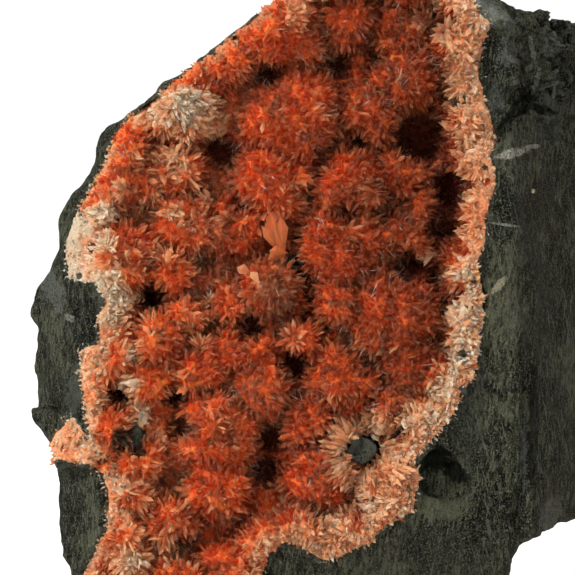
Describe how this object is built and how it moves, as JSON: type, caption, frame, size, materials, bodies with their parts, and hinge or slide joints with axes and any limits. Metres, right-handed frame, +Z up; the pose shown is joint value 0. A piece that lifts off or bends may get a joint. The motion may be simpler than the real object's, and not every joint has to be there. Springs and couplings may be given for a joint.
{
  "type": "rhodochrosite on matrix",
  "caption": "Upright block of dark slaty rock whose broken front hollow is lined with a thick crust of pointed orange-red crystals and a pale rim.",
  "frame": {"origin": "centre of the bounding box's footprint, on the surface that the specimen stands on", "axes": "+Z up along the specimen's length, +Y back into the rock, so that the crystal face looks along -Y, +X to the right as seen from in front"},
  "size_m": [0.134, 0.0841, 0.1515],
  "materials": {
    "matrix_rock": "dark green-grey slaty rock, dull, fine vertical foliation, a few pale veins",
    "rhodochrosite": "glassy orange-red crystals, translucent at the tips, peach to cream along the rim"
  },
  "bodies": {
    "root": {"matrix_rock": "matrix_rock", "rhodochrosite_crust": "rhodochrosite"}
  },
  "joints": []
}
